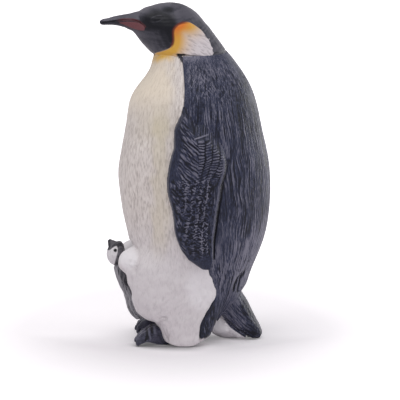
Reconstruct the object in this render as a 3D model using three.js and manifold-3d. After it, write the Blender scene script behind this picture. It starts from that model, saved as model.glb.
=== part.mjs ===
// Emperor penguin figurine with a chick standing on its feet, in millimetres with +Z up.
// The bird faces -Y, its left side is +X and the ground is z = 0.
import * as THREE from 'three';
import { mergeVertices } from 'three/addons/utils/BufferGeometryUtils.js';
import Module from 'manifold-3d';

const wasm = await Module();
wasm.setup();

// Fits: free space between two mouldings, and the wall of the hollow body
const JOINT_GAP = 0.3;
const WALL = 3;

// Body from the bottom up: rise above the station below, reach to the front and to the back, half width,
// and how far back the line between the white front and the dark back lies
const BODY = {
  vent: { rise: 3.2, front: 3.5, back: 6.5, half: 5.5, seam: 3.1 },
  hips: { rise: 5, front: 8.5, back: 10.5, half: 11, seam: 4.3 },
  rump: { rise: 5, front: 11.3, back: 14, half: 14, seam: 7.2 },
  thigh: { rise: 6, front: 12.8, back: 16.8, half: 16.2, seam: 5.2 },
  flank: { rise: 7, front: 15, back: 19.5, half: 17.5, seam: 4.2 },
  waist: { rise: 9, front: 16.7, back: 21, half: 18, seam: 3 },
  belly: { rise: 8.5, front: 17.3, back: 20.8, half: 18, seam: 1.4 },
  breast: { rise: 10.5, front: 15.4, back: 18.9, half: 17.2, seam: -0.5 },
  shoulder: { rise: 9, front: 13.4, back: 16.7, half: 14.8, seam: -1 },
  collar: { rise: 5, front: 9.5, back: 14.2, half: 11.8, seam: -1 },
  neck: { rise: 4.6, front: 8.5, back: 10.4, half: 9.2, seam: -1.4 },
};

// Head from the neck joint up, in the same terms
const HEAD = {
  nape: { rise: 2.5, front: 11.1, back: 8.7, half: 8.2 },
  jaw: { rise: 3, front: 12.6, back: 6.5, half: 7.3 },
  brow: { rise: 3, front: 13, back: 4.4, half: 6.7 },
  crown: { rise: 2.6, front: 12.1, back: 2.1, half: 5.2 },
  poll: { rise: 1.25, front: 9.5, back: 0.1, half: 3.4 },
  dome: { rise: 0.75, front: 7.4, back: -1.7, half: 1.9 },
  top: { rise: 0.3, front: 5.2, back: -3.3, half: 0.6 },
};

// Bill from its root to its tip: reach forward, height of its top above the neck joint, depth, half width
const BILL = {
  root: { reach: 9.5, top: 11.2, depth: 7.4, half: 4.2 },
  gape: { reach: 12.6, top: 10.9, depth: 6.7, half: 3.2 },
  plate: { reach: 15, top: 10.5, depth: 4.2, half: 2.3 },
  ridge: { reach: 18.4, top: 9.9, depth: 2.6, half: 1.5 },
  tip: { reach: 21.9, top: 8.8, depth: 1.5, half: 0.7 },
};

// Hollow of the body: its floor and the thickness of solid left under the neck joint
const HOLLOW = { floor: 27, roof: 6 };

// Locating pins between the shells, two pairs at these heights, with the bosses that hold them
const PIN = { radius: 1.2, length: 4, bossRadius: 2.6, bossLength: 5, inset: 4.6 };
const PIN_HEIGHTS = [33, 62];

// Round plug of the head in the neck
const NECK_SPIGOT = { radius: 4.5, length: 9 };

// Middle of each leg to the side, and the white trousers round it: height, middle, half width, half depth
const LEG_SIDE = 9;
const TROUSER = {
  hem: { height: 0.5, middle: -0.2, half: 5.4, depth: 5.6 },
  cuff: { height: 1.7, middle: -0.2, half: 6, depth: 6.5 },
  ankle: { height: 4.4, middle: -0.3, half: 6.4, depth: 7.4 },
  calf: { height: 6.2, middle: -1.6, half: 6.7, depth: 9.4 },
  shin: { height: 8, middle: -2.2, half: 7.2, depth: 10.7 },
  knee: { height: 12, middle: -2.7, half: 7.9, depth: 11.5 },
  thigh: { height: 17, middle: -3.6, half: 8, depth: 11.8 },
  hip: { height: 21, middle: -4.6, half: 7.2, depth: 10.6 },
  top: { height: 26, middle: -4.8, half: 4.6, depth: 6.5 },
};

// Puffed lip of the brood fold beside the head of the chick
const FOLD = { side: 6.6, back: -13.7, height: 21, half: 4.6, depth: 3.9, tall: 3.9 };

// Flipper from its root down: drop below the neck joint, middle of the blade, half chord, thickness
const FLIPPER = {
  root: { drop: 11.3, middle: 0.6, chord: 2, thick: 1.4 },
  shoulder: { drop: 15.2, middle: 0.9, chord: 4, thick: 2.8 },
  elbow: { drop: 21.8, middle: 2.8, chord: 6.3, thick: 3.2 },
  forearm: { drop: 29.8, middle: 2.7, chord: 7.4, thick: 3 },
  wrist: { drop: 37, middle: 2.3, chord: 6.4, thick: 2.7 },
  palm: { drop: 44.8, middle: 2.7, chord: 4.7, thick: 2.3 },
  fingers: { drop: 50.2, middle: 3.9, chord: 2.7, thick: 1.8 },
  tip: { drop: 52.6, middle: 5, chord: 0.7, thick: 1 },
};
// Free space under the blade, how far its rear edge stands off more, and how full its section is
const FLIPPER_STANDOFF = 0.4;
const FLIPPER_LIFT = 0.9;
const FLIPPER_FULLNESS = 0.8;
const FLIPPER_PEG = { drop: 18.5, back: 2.7, radius: 1.8, length: 5, sunk: 1.5 };

// Tail and its rounded underside from the rump to the end: distance back, height, half width, half thickness
const TAIL = {
  root: { back: 10, height: 10.6, half: 5.2, thick: 3.6 },
  base: { back: 12.4, height: 7.3, half: 6, thick: 3.4 },
  middle: { back: 15.3, height: 3.9, half: 5.8, thick: 2.6 },
  taper: { back: 17.6, height: 2, half: 4.6, thick: 1.5 },
  edge: { back: 18.8, height: 1.2, half: 3, thick: 0.7 },
};
const UNDERTAIL = {
  root: { back: 6.6, height: 4.6, half: 3.2, thick: 1.8 },
  bulge: { back: 8.6, height: 3, half: 4.2, thick: 2.8 },
  middle: { back: 11.6, height: 1.9, half: 4.2, thick: 2.2 },
  end: { back: 15, height: 1.3, half: 3, thick: 1.2 },
};
const TAIL_TONGUE = { height: 8.8, half: 2.6, thick: 1.4, length: 5, sunk: 2 };

// Foot: oval sole under the leg, three toes and the peg up into the trouser
const FOOT = { back: -2.6, half: 4, depth: 4.6, sole: 1 };
const TOE_SPREAD = 4.4;
const TOE_SETBACK = 0.5;
const TOE_PATH = [[-1, 2.8], [-5.6, 3], [-8.7, 3], [-11, 2.7], [-12.7, 1.3], [-13.2, 0.4]];
const TOE_RADII = [1.9, 1.8, 1.8, 1.7, 1, 0.4];
const FOOT_PEG = { radius: 1.7, top: 9, back: 0.1 };

// Chick: body from its feet up, head, bill, flippers and the plug of the head
const CHICK_PATH = [[-9.8, 5.9], [-11.2, 9.4], [-13.2, 14], [-15.3, 17.4], [-16.2, 19]];
const CHICK_RADII = [3.3, 4.4, 4.2, 3.5, 2.7];
const CHICK_HEAD = { back: -17, height: 21.5, half: 3.3, depth: 3.4, tall: 3.3 };
const CHICK_BILL = { reach: 2.7, rise: 3.6, root: 1.7, middle: 1.3, point: 0.4 };
const CHICK_PLUG = { radius: 1.2, length: 2, sunk: 1 };
const CHICK_FLIPPER = { side: 4.3, back: -16.3, height: 15.2, half: 1, depth: 1.5, tall: 3.2, lean: 0.4 };
const CHICK_PEG = { radius: 0.6, length: 2, back: 0.4, up: 0.6 };

// Fineness of the surfaces: points round and rings along each kind of skin
const BODY_SKIN = { round: 40, rings: 22 };
const HOLLOW_SKIN = { round: 24, rings: 9 };
const TROUSER_SKIN = { round: 22, rings: 10 };
const HEAD_SKIN = { round: 32, rings: 15 };
const BLADE_SKIN = { round: 16, rings: 16 };
const SMALL_SKIN = { round: 14, rings: 8 };
const BAR_ROUND = 14;

const X = new THREE.Vector3(1, 0, 0);
const Y = new THREE.Vector3(0, 1, 0);
const Z = new THREE.Vector3(0, 0, 1);
const FAR = 60;

// A closed three.js geometry as a solid
function solid(geometry) {
  const bare = geometry.clone();
  bare.deleteAttribute('normal');
  bare.deleteAttribute('uv');
  const merged = mergeVertices(bare, 1e-4);
  return new wasm.Manifold(new wasm.Mesh({
    numProp: 3,
    vertProperties: new Float32Array(merged.attributes.position.array),
    triVerts: new Uint32Array(merged.index.array),
  }));
}

// A skin through rings of equal count, closed with a fan at each end
function loft(rings) {
  const count = rings[0].length;
  const points = rings.flat();
  const index = [];
  for (let i = 0; i + 1 < rings.length; i += 1) {
    for (let j = 0; j < count; j += 1) {
      const a = i * count + j;
      const b = i * count + (j + 1) % count;
      index.push(a, b, b + count, a, b + count, a + count);
    }
  }
  for (const [end, first] of [[0, true], [rings.length - 1, false]]) {
    const middle = new THREE.Vector3();
    rings[end].forEach((p) => middle.addScaledVector(p, 1 / count));
    const hub = points.push(middle) - 1;
    for (let j = 0; j < count; j += 1) {
      const a = end * count + j;
      const b = end * count + (j + 1) % count;
      index.push(hub, first ? b : a, first ? a : b);
    }
  }
  return solid(new THREE.BufferGeometry().setFromPoints(points).setIndex(index));
}

// Points round an oval in the horizontal plane
function ovalRing(middleX, middleY, height, half, depth, segments) {
  return Array.from({ length: segments }, (_, j) => {
    const turn = (2 * Math.PI * j) / segments;
    return new THREE.Vector3(middleX + half * Math.cos(turn), middleY + depth * Math.sin(turn), height);
  });
}

// A smooth table of values along rising stations
function profile(stations, position, fields) {
  const places = stations.map(position);
  const values = stations.flatMap((s) => fields.map((f) => s[f]));
  const curve = new THREE.CubicInterpolant(places, values, fields.length);
  return {
    first: places[0],
    last: places[places.length - 1],
    at: (place) => [...curve.evaluate(place)],
  };
}

// Even steps from one number to another
function steps(from, to, count) {
  return Array.from({ length: count + 1 }, (_, i) => THREE.MathUtils.lerp(from, to, i / count));
}

// Stations whose heights stack up from a base
function stacked(stations, base) {
  let height = base;
  return Object.values(stations).map((s) => {
    height += s.rise;
    return { ...s, height };
  });
}

// A round or oval section swept along a smooth line
function sweep(path, radii, skin) {
  const line = new THREE.CatmullRomCurve3(path);
  const sizes = new THREE.CatmullRomCurve3(radii.map(([a, b]) => new THREE.Vector3(a, b, 0)));
  const frames = line.computeFrenetFrames(skin.rings);
  return loft(steps(0, 1, skin.rings).map((t, i) => {
    const middle = line.getPoint(t);
    const size = sizes.getPoint(t);
    const across = line.getTangent(t).cross(frames.binormals[i]).negate().normalize();
    return Array.from({ length: skin.round }, (_, j) => {
      const turn = (2 * Math.PI * j) / skin.round;
      return middle.clone()
        .addScaledVector(across, size.x * Math.cos(turn))
        .addScaledVector(frames.binormals[i], size.y * Math.sin(turn));
    });
  }));
}

// An ellipsoid from its middle and half sizes
function ellipsoid(middle, half, depth, tall) {
  const ball = new THREE.SphereGeometry(1, SMALL_SKIN.round, SMALL_SKIN.rings).rotateX(Math.PI / 2);
  return solid(ball.scale(half, depth, tall).translate(middle.x, middle.y, middle.z));
}

// A round bar between two points
function bar(from, to, radius) {
  const along = to.clone().sub(from);
  const turn = new THREE.Quaternion().setFromUnitVectors(Y, along.clone().normalize());
  const middle = from.clone().add(to).multiplyScalar(0.5);
  const geometry = new THREE.CylinderGeometry(radius, radius, along.length(), BAR_ROUND);
  return solid(geometry.applyQuaternion(turn).translate(middle.x, middle.y, middle.z));
}

// A flat outline in the plane of Y and Z as a slab across the whole width
function slabFromSide(outline) {
  const shape = new THREE.Shape(outline);
  const geometry = new THREE.ExtrudeGeometry(shape, { depth: 2 * FAR, bevelEnabled: false });
  return solid(geometry.applyMatrix4(new THREE.Matrix4().makeBasis(Y, Z, X)).translate(-FAR, 0, 0));
}

// The same solid on the other side of the bird
function mirrored(shape) {
  return shape.mirror([1, 0, 0]);
}

const bodyStations = stacked(BODY, 0);
const bodyProfile = profile(bodyStations, (s) => s.height, ['front', 'back', 'half', 'seam']);
const NECK_HEIGHT = bodyProfile.last;

// The oval of the body at one height, grown outwards
function bodyOval(height, grow) {
  const [front, back, half] = bodyProfile.at(height);
  return { middle: (back - front) / 2, depth: (back + front) / 2 + grow, half: half + grow };
}

// The egg of the body between two heights, grown outwards
function bodyEgg(from, to, grow, skin) {
  return loft(steps(from, to, skin.rings).map((height) => {
    const oval = bodyOval(height, grow);
    return ovalRing(0, oval.middle, height, oval.half, oval.depth, skin.round);
  }));
}

// Distance of the side of the body from the middle plane at a point seen from the side
function bodySide(back, height) {
  const oval = bodyOval(height, 0);
  const share = Math.min(Math.abs(back - oval.middle) / oval.depth, 0.98);
  return oval.half * Math.sqrt(1 - share * share);
}

// One white trouser leg, grown outwards
function trouser(grow) {
  const fields = ['middle', 'half', 'depth'];
  const shape = profile(Object.values(TROUSER), (s) => s.height, fields);
  return loft(steps(shape.first, shape.last, TROUSER_SKIN.rings).map((height) => {
    const [middle, half, depth] = shape.at(height);
    return ovalRing(LEG_SIDE, middle, height, half + grow, depth + grow, TROUSER_SKIN.round);
  }));
}

// The whole outside of the body with trousers and brood folds, grown outwards
function bodyOutside(grow) {
  const egg = bodyEgg(bodyProfile.first, NECK_HEIGHT, grow, BODY_SKIN);
  const fold = ellipsoid(
    new THREE.Vector3(FOLD.side, FOLD.back, FOLD.height),
    FOLD.half + grow,
    FOLD.depth + grow,
    FOLD.tall + grow,
  );
  const leg = trouser(grow).add(fold);
  return egg.add(leg).add(mirrored(leg));
}

// How far back the seam lies at one height
function seamBack(height) {
  return bodyProfile.at(height)[3];
}

// Everything on the white or on the dark side of the seam, half a joint gap short of it
function besideSeam(sign) {
  const heights = steps(bodyProfile.first, NECK_HEIGHT, BODY_SKIN.rings);
  const edge = [0, ...heights, NECK_HEIGHT + WALL].map((height) => {
    const level = THREE.MathUtils.clamp(height, bodyProfile.first, NECK_HEIGHT);
    return new THREE.Vector2(seamBack(level) + (sign * JOINT_GAP) / 2, height);
  });
  const corners = [new THREE.Vector2(sign * FAR, NECK_HEIGHT + WALL), new THREE.Vector2(sign * FAR, 0)];
  return slabFromSide([...edge, ...corners]);
}

// Bars along the pins, from and to distances behind the seam
function alongPins(from, to, radius) {
  const bars = PIN_HEIGHTS.flatMap((height) => [-1, 1].map((sign) => {
    const back = seamBack(height);
    const side = sign * (bodySide(back, height) - PIN.inset);
    const start = new THREE.Vector3(side, back + from, height);
    return bar(start, new THREE.Vector3(side, back + to, height), radius);
  }));
  return bars.reduce((a, b) => a.add(b));
}

// Plug of the head, from its lower end to a height
function neckSpigot(top, grow) {
  const back = bodyOval(NECK_HEIGHT, 0).middle;
  const low = NECK_HEIGHT - NECK_SPIGOT.length - grow;
  return bar(new THREE.Vector3(0, back, low), new THREE.Vector3(0, back, top), NECK_SPIGOT.radius + grow);
}

// Hollow body with its bosses, before it is split into the two shells
function hollowBody() {
  const hollow = bodyEgg(HOLLOW.floor, NECK_HEIGHT - HOLLOW.roof, -WALL, HOLLOW_SKIN);
  const bosses = alongPins(-PIN.bossLength, PIN.bossLength, PIN.bossRadius);
  const outside = bodyOutside(0);
  const walls = outside.subtract(hollow).add(bosses.intersect(outside));
  return walls.subtract(neckSpigot(NECK_HEIGHT + WALL, JOINT_GAP));
}

// Bill of the bird
function bill() {
  const stations = Object.values(BILL);
  const shape = profile(stations, (s) => s.reach, ['top', 'depth', 'half']);
  return loft(steps(shape.first, shape.last, SMALL_SKIN.rings).map((reach) => {
    const [top, depth, half] = shape.at(reach);
    return Array.from({ length: SMALL_SKIN.round }, (_, j) => {
      const turn = (2 * Math.PI * j) / SMALL_SKIN.round;
      const height = NECK_HEIGHT + top - depth / 2 + (depth / 2) * Math.sin(turn);
      return new THREE.Vector3(half * Math.cos(turn), -reach, height);
    });
  }));
}

// Head with bill and neck plug
function head() {
  const neck = { ...BODY.neck, height: NECK_HEIGHT };
  const shape = profile([neck, ...stacked(HEAD, NECK_HEIGHT)], (s) => s.height, ['front', 'back', 'half']);
  const skull = loft(steps(0, Math.PI / 2, HEAD_SKIN.rings).map((turn) => {
    const height = THREE.MathUtils.lerp(shape.first + JOINT_GAP, shape.last, Math.sin(turn));
    const [front, back, half] = shape.at(height);
    return ovalRing(0, (back - front) / 2, height, half, (back + front) / 2, HEAD_SKIN.round);
  }));
  return skull.add(bill()).add(neckSpigot(NECK_HEIGHT + WALL, 0));
}

// Peg of the left flipper
function flipperPeg(grow) {
  const { drop, back, radius, length, sunk } = FLIPPER_PEG;
  const height = NECK_HEIGHT - drop;
  const side = bodySide(back, height);
  const inner = new THREE.Vector3(side - length - grow, back, height);
  return bar(inner, new THREE.Vector3(side + sunk, back, height), radius + grow);
}

// Left flipper: a blade that follows the side of the body, lifted off it behind
function flipper() {
  const rising = Object.values(FLIPPER).reverse();
  const shape = profile(rising, (s) => NECK_HEIGHT - s.drop, ['middle', 'chord', 'thick']);
  const blade = loft(steps(shape.first, shape.last, BLADE_SKIN.rings).map((height) => {
    const [middle, chord, thick] = shape.at(height);
    return Array.from({ length: BLADE_SKIN.round }, (_, j) => {
      const turn = (2 * Math.PI * j) / BLADE_SKIN.round;
      const share = -Math.cos(turn);
      const back = middle + chord * share;
      const lift = FLIPPER_LIFT * Math.max(share, 0) ** 2;
      const bulge = thick * Math.max(Math.sin(turn), 0) ** FLIPPER_FULLNESS;
      return new THREE.Vector3(bodySide(back, height) + FLIPPER_STANDOFF + lift + bulge, back, height);
    });
  }));
  return blade.subtract(trouser(JOINT_GAP)).add(flipperPeg(0));
}

// Tongue of the tail, pushed forward into the rump
function tailTongue(grow) {
  const { height, half, thick, length, sunk } = TAIL_TONGUE;
  const oval = bodyOval(height, 0);
  const from = oval.middle + oval.depth - length - grow;
  const to = oval.middle + oval.depth + sunk;
  const block = new THREE.BoxGeometry(2 * (half + grow), to - from, 2 * (thick + grow));
  return solid(block.translate(0, (from + to) / 2, height));
}

// Everything above the ground
function aboveGround() {
  return solid(new THREE.BoxGeometry(2 * FAR, 2 * FAR, 2 * FAR).translate(0, 0, FAR));
}

// Tail with its white underside
function tail() {
  const [blade, under] = [TAIL, UNDERTAIL].map((shape) => {
    const stations = Object.values(shape);
    const path = stations.map((s) => new THREE.Vector3(0, s.back, s.height));
    return sweep(path, stations.map((s) => [s.half, s.thick]), BLADE_SKIN);
  });
  const wedge = blade.add(under).intersect(aboveGround());
  return wedge.subtract(bodyOutside(JOINT_GAP)).add(tailTongue(0));
}

// Left foot, grown outwards
function foot(grow) {
  const { back, half, depth, sole } = FOOT;
  const outline = new THREE.Shape().absellipse(LEG_SIDE, back, half + grow, depth + grow, 0, 2 * Math.PI);
  const pad = solid(new THREE.ExtrudeGeometry(outline, {
    depth: sole + grow,
    bevelEnabled: false,
    curveSegments: TROUSER_SKIN.round,
  }));
  const toes = [-1, 0, 1].map((spread) => {
    const path = TOE_PATH.map(([toeBack, height], i) => {
      const out = LEG_SIDE + (spread * TOE_SPREAD * i) / (TOE_PATH.length - 1);
      return new THREE.Vector3(out, toeBack + Math.abs(spread) * TOE_SETBACK, height);
    });
    return sweep(path, TOE_RADII.map((r) => [r + grow, r + grow]), SMALL_SKIN);
  });
  const low = new THREE.Vector3(LEG_SIDE, FOOT_PEG.back, sole / 2);
  const high = new THREE.Vector3(LEG_SIDE, FOOT_PEG.back, FOOT_PEG.top + grow);
  const peg = bar(low, high, FOOT_PEG.radius + grow);
  const whole = toes.reduce((a, b) => a.add(b), pad).add(peg);
  return grow > 0 ? whole : whole.intersect(aboveGround());
}

// Body of the chick, grown outwards
function chickBody(grow) {
  const path = CHICK_PATH.map(([back, height]) => new THREE.Vector3(0, back, height));
  return sweep(path, CHICK_RADII.map((r) => [r + grow, r + grow]), BLADE_SKIN);
}

// Plug of the head of the chick
function chickPlug(grow) {
  const [back, height] = CHICK_PATH[CHICK_PATH.length - 1];
  const neck = new THREE.Vector3(0, back, height);
  const up = new THREE.Vector3(0, CHICK_HEAD.back, CHICK_HEAD.height).sub(neck).normalize();
  const start = neck.clone().addScaledVector(up, -CHICK_PLUG.sunk);
  return bar(start, neck.clone().addScaledVector(up, CHICK_PLUG.length + grow), CHICK_PLUG.radius + grow);
}

// Head of the chick with its bill, grown outwards
function chickHead(grow) {
  const middle = new THREE.Vector3(0, CHICK_HEAD.back, CHICK_HEAD.height);
  const ball = ellipsoid(middle, CHICK_HEAD.half + grow, CHICK_HEAD.depth + grow, CHICK_HEAD.tall + grow);
  const point = middle.clone().addScaledVector(Y, -CHICK_BILL.reach).addScaledVector(Z, CHICK_BILL.rise);
  const root = middle.clone().lerp(point, 1 / 3);
  const half = middle.clone().lerp(point, 2 / 3);
  const radii = [CHICK_BILL.root, CHICK_BILL.middle, CHICK_BILL.point];
  return ball.add(sweep([root, half, point], radii.map((r) => [r + grow, r + grow]), SMALL_SKIN));
}

// Left flipper of the chick, grown outwards
function chickFlipper(grow) {
  const { side, back, height, half, depth, tall, lean } = CHICK_FLIPPER;
  const ball = new THREE.SphereGeometry(1, SMALL_SKIN.round, SMALL_SKIN.rings).rotateX(Math.PI / 2);
  const blade = ball.scale(half + grow, depth + grow, tall + grow).rotateX(lean);
  return solid(blade.translate(side, back, height));
}

// Peg of the left flipper of the chick
function chickPeg(grow) {
  const outer = new THREE.Vector3(
    CHICK_FLIPPER.side,
    CHICK_FLIPPER.back + CHICK_PEG.back,
    CHICK_FLIPPER.height + CHICK_PEG.up,
  );
  const inner = outer.clone().addScaledVector(X, -CHICK_PEG.length - grow);
  return bar(inner, outer, CHICK_PEG.radius + grow);
}

// A piece as a named mesh
function piece(name, shape, material) {
  const { vertProperties, triVerts } = shape.getMesh();
  const geometry = new THREE.BufferGeometry();
  geometry.setAttribute('position', new THREE.BufferAttribute(vertProperties, 3));
  geometry.setIndex(new THREE.BufferAttribute(triVerts, 1));
  geometry.computeVertexNormals();
  const mesh = new THREE.Mesh(geometry, material);
  mesh.name = name;
  return mesh;
}

// A matt painted plastic
function paint(colour) {
  return new THREE.MeshStandardMaterial({ color: colour, roughness: 0.6 });
}

const whitePaint = paint(0xd6d0cc);
const slatePaint = paint(0x434659);
const hoodPaint = paint(0x2e2e36);
const footPaint = paint(0x3c3b46);
const downPaint = paint(0x7d7a80);
const capPaint = paint(0x45424a);

// The two shells of the body
const bothFeet = foot(JOINT_GAP).add(mirrored(foot(JOINT_GAP)));
const chickRoom = chickBody(JOINT_GAP)
  .add(chickHead(JOINT_GAP))
  .add(chickFlipper(JOINT_GAP))
  .add(mirrored(chickFlipper(JOINT_GAP)));
const body = hollowBody().subtract(bothFeet);
const flipperSockets = flipperPeg(JOINT_GAP).add(mirrored(flipperPeg(JOINT_GAP)));
const frontShell = body
  .intersect(besideSeam(-1))
  .subtract(alongPins(-PIN.length - JOINT_GAP, PIN.bossLength, PIN.radius + JOINT_GAP))
  .subtract(chickRoom);
const backShell = body
  .intersect(besideSeam(1))
  .add(alongPins(-PIN.length, PIN.bossLength / 2, PIN.radius))
  .subtract(flipperSockets)
  .subtract(tailTongue(JOINT_GAP));

// The chick
const chickHeadSolid = chickHead(0).subtract(chickBody(JOINT_GAP)).subtract(chickPlug(JOINT_GAP));
const chickPegs = chickPeg(JOINT_GAP).add(mirrored(chickPeg(JOINT_GAP)));
const chickBodySolid = chickBody(0).add(chickPlug(0)).subtract(bothFeet).subtract(chickPegs);
const chickFlipperSolid = chickFlipper(0).subtract(chickBody(JOINT_GAP)).add(chickPeg(0));

const flipperSolid = flipper();
const footSolid = foot(0);

const figurine = new THREE.Group();
figurine.name = 'penguin_figurine';
figurine.add(
  piece('front_shell', frontShell, whitePaint),
  piece('back_shell', backShell, slatePaint),
  piece('head', head(), hoodPaint),
  piece('left_flipper', flipperSolid, slatePaint),
  piece('right_flipper', mirrored(flipperSolid), slatePaint),
  piece('tail', tail(), slatePaint),
  piece('left_foot', footSolid, footPaint),
  piece('right_foot', mirrored(footSolid), footPaint),
  piece('chick_body', chickBodySolid, downPaint),
  piece('chick_head', chickHeadSolid, capPaint),
  piece('chick_left_flipper', chickFlipperSolid, capPaint),
  piece('chick_right_flipper', mirrored(chickFlipperSolid), capPaint),
);

// The origin lies on the ground in the middle of the overall depth
const box = new THREE.Box3().setFromObject(figurine);
figurine.children.forEach((mesh) => mesh.position.setY(-(box.min.y + box.max.y) / 2));

export default figurine;
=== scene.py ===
"""Emperor penguin figurine with its chick: the sculpted and hand-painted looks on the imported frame."""
import math

import bmesh
import bpy
import numpy as np
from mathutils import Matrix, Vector
from mathutils.bvhtree import BVHTree


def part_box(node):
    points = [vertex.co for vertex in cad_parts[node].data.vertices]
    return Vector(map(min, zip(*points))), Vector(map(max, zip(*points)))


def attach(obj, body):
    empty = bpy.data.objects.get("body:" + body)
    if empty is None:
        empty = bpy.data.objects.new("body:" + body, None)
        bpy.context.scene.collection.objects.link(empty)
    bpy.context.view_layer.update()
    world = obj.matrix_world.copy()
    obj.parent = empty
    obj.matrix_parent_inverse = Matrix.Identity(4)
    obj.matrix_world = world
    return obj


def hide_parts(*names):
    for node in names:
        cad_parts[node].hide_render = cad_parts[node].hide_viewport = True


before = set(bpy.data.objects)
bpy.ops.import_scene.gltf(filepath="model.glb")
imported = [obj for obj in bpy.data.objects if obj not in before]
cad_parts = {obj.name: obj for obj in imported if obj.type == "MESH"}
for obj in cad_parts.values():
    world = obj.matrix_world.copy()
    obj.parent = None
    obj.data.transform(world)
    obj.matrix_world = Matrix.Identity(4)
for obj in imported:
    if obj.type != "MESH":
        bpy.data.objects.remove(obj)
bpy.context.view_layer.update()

# Millimetres are used for all sculpting, and metres only for what is handed to the scene
MM = 0.001

# The camera looks at the left side of the bird from slightly above
VIEW_RISE = math.radians(9)
VIEW_CENTRE = (0, 3.58, 35.3)
VIEW_WIDTH = 101.5
LENS = 1000
SENSOR = 36

# Stage, in metres: floor, reach of the contact shadow painted on it, light of the sky as seen and as cast,
# and lamps
FLOOR_HALF = 4
PAPER = (0.9, 0.865, 0.9, 1)
PAPER_GLOW = (1, 0.98, 1, 1)
CONTACT_REACH = 0.008
SKY_SEEN = 1.0
SKY_CAST = 0.49
LAMP_AIM = (0, 0, 0.04)
LAMPS = [("top_box", (0.16, -0.1, 0.5), 0.4, 1.0), ("tail_box", (0.1, 0.5, 0.3), 0.4, 0.45),
         ("rim_box", (-0.4, 0.45, 0.06), 0.3, 1.1)]

# Skin of the body: an upright axis, heights in rows and turning angles in columns
AXIS_BACK = 1.7
HEM = 0.4
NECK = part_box("front_shell")[1].z / MM
NECK_GAP = 0.4
COVER = 0.5
COVER_SIDE = 0.15
SKIN_ROWS = 215
HALF_COLUMNS = 361
HAIR_RADIUS = 18
FAR = 60
# Columns to each side within which dents of the skin are closed on the white and on the dark part
CLOSE_HALF = 4
FILL_HALF = 15

# Shells cut from the skin: their grids, the gap between them, and their inner rims and edges
SHELL_ROWS = 180
SHELL_COLUMNS = 530
SHELL_GAP = 0.04
SHELL_EDGE = 1.0
CORE_HALF = 0.1

# Size of the even cells that the other pieces are sculpted from
HEAD_CELL = 0.16
BLADE_CELL = 0.15
FOOT_CELL = 0.17
CHICK_CELL = 0.13

# All drawn lines and places below are in the side view: millimetres towards the tail and millimetres up

# Border of dark and white brought nearer to the photograph: height and millimetres to the front
SEAM_SHIFT = [(2, 0.3), (5, 0.4), (8, 0.4), (9.7, 0.2), (12, -0.15), (16, -0.15), (18, 0), (48, 0),
              (55, -0.35), (58, -0.15), (60, 0.05), (63, -0.25), (66, -0.45), (72, -0.45)]
SEAM_RADIUS = 14
SEAM_FRAY = 0.3

# Waist filled, and chest fuller with the neck drawn in under the chin: height and millimetres out
WAIST_FILL = [(9, 0), (10.6, 1.4), (11.8, 1.85), (12.7, 1.4), (13.6, 0.9), (15, 0.12), (16.5, -0.22),
              (18.5, 0)]
CHEST_FILL = [(28, 0), (33, 0.25), (56, 0.22), (59, 0.4), (62, 0.65), (64.5, 0.65), (66.5, 0.25),
              (68.5, -0.1), (70.5, -0.1), (72, -0.45), (73, 0)]

# Round each leg the trousers keep a full hem above the toes: height, middle, half width and half depth
LEG_SIDE = 9
CUFF = [(0.1, 0.2, 4.8, 4.8), (0.5, 0.2, 5.6, 5.8), (1.7, 0.2, 6.1, 6.5), (4.4, 0.1, 6.4, 7.4),
        (5.8, 0.0, 6.6, 7.7)]
# Height of the hem by distance back, how far it flares, and how far the trousers come out over the foot
HEM_LINE = [(-7.5, 2.2), (-5.9, 1.2), (-3.65, 0.5), (-2.2, 0.2), (0.8, 0.2), (1.9, 0.4), (2.9, 0.8),
            (3.9, 1.3), (6.5, 2.3)]
HEM_FLARE = 0.8
OVER_FOOT = 0.65
# Lobe of the brood fold: rows that it sits lower than in the solid, and its middle and half size
LOBE_DROP = 2
LOBE = (-14.6, 20.6)
LOBE_HALF = (2.6, 3.6)
FOLD_CREASE = [(-14.4, 24.3), (-12.7, 22.3), (-12.1, 20.2), (-12.3, 18.3), (-13.0, 17.0)]
WRINKLES = [[(-6.9, 4.8), (-5.8, 5.25), (-4.75, 4.95)], [(-6.8, 3.9), (-5.6, 4.4), (-4.5, 4.05)],
            [(-5.8, 2.15), (-5.1, -0.1), (-4.5, -1.0)], [(-4.9, 1.9), (-4.6, -0.1)],
            [(-14.4, 19.15), (-13.4, 18.9), (-12.6, 19.15)], [(-14.6, 18.15), (-13.6, 17.8), (-12.9, 18.15)]]

# Back: grooves and step of the rump, with a shadow line painted under the step, and the light rim under the
# heel
RUMP_GROOVES = [[(14.6, 16.7), (13.7, 15.7), (13.0, 14.7), (12.4, 13.3), (12.05, 11.9)],
                [(15.3, 17.7), (14.8, 16.5), (14.0, 15.4), (13.6, 14.1), (13.3, 12.8), (13.1, 11.9)]]
RUMP_STEP = [(11.9, 11.8), (12.8, 11.75), (13.7, 11.8)]
HEEL_RIM = [(-20, -20), (2.5, -0.6), (3.6, -0.3), (5.25, -0.1), (6.5, 0.8), (7.4, 1.75), (8.0, 3), (9, -20)]

# Form of the head: where the bill starts to round off, and how far parts of its outline move
BILL_ROUND = -20.6
BILL_LONGER = 0.3
BILL_LOWER = 0.22
CROWN_LOWER = 0.27
THROAT_OUT = 0.32
JAW = (-13.4, 77.4)
JAW_IN = 0.28
CHIN = (-11.3, 75.4)
CHIN_OUT = 0.45

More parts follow.
